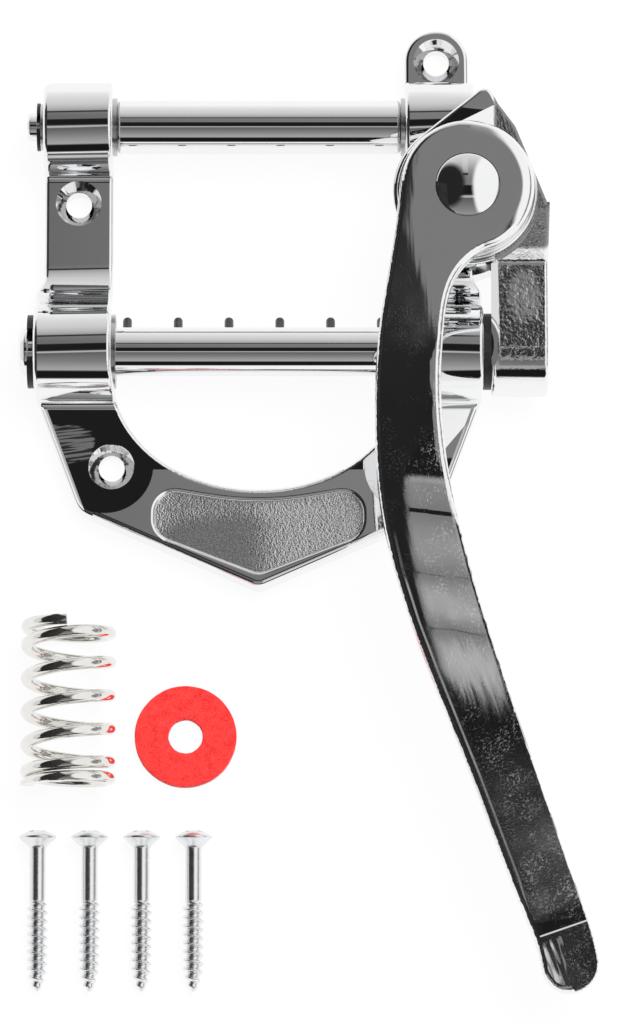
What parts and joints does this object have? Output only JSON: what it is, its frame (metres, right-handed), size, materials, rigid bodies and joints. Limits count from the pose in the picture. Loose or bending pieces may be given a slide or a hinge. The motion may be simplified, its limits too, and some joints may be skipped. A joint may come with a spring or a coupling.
{
  "type": "guitar tremolo bridge",
  "caption": "Horseshoe tremolo tailpiece for a guitar: rocking string bar with pins, tension roller and swivelling arm, with loose return spring, felt washer and wood screws.",
  "frame": {"origin": "on the mounting face, midway between the two rear screw holes", "axes": "+X along the bars towards the arm, +Y towards the neck, +Z away from the guitar top"},
  "size_m": [0.1137, 0.1966, 0.039],
  "materials": {
    "chrome_plate": "mirror polished chrome plate",
    "plain_steel": "turned bare steel",
    "black_spring_steel": "black oxide",
    "nickel_wire": "bright nickel plated wire",
    "zinc_screw": "bright zinc plate",
    "red_felt": "pressed wool felt"
  },
  "bodies": {
    "base": {"frame": "chrome_plate", "front_bush_left": "plain_steel", "front_bush_right": "plain_steel", "rear_bush_left": "plain_steel", "rear_bush_right": "plain_steel", "tension_bar_washer": "plain_steel", "spring": "nickel_wire", "felt_washer": "red_felt", "wood_screw_1": "zinc_screw", "wood_screw_2": "zinc_screw", "wood_screw_3": "zinc_screw", "wood_screw_4": "zinc_screw"},
    "tension_roller": {"tension_bar": "chrome_plate", "tension_bar_clip": "black_spring_steel"},
    "rocker": {"string_bar": "chrome_plate", "string_pin_1": "plain_steel", "string_pin_2": "plain_steel", "string_pin_3": "plain_steel", "string_pin_4": "plain_steel", "string_pin_5": "plain_steel", "string_pin_6": "plain_steel", "string_bar_clip": "black_spring_steel", "string_bar_washer": "black_spring_steel", "arm_bracket": "chrome_plate", "bracket_set_screw": "black_spring_steel", "swivel_washer": "plain_steel", "pivot_stud": "chrome_plate", "pivot_nut": "plain_steel"},
    "arm": {"arm": "chrome_plate"}
  },
  "joints": [
    {"name": "tension_roller_turn", "type": "hinge", "parent": "base", "child": "tension_roller", "pos_m": [0, 0.0683, 0.0105], "axis": [1, 0, 0], "continuous": true},
    {"name": "rocker_tilt", "type": "hinge", "parent": "base", "child": "rocker", "pos_m": [0, 0.0221, 0.012], "axis": [1, 0, 0], "range_deg": [-6, 6]},
    {"name": "arm_swivel", "type": "hinge", "parent": "rocker", "child": "arm", "pos_m": [0.0411, 0.0504, 0.035], "axis": [0, 0, 1], "range_deg": [-10, 190]}
  ]
}
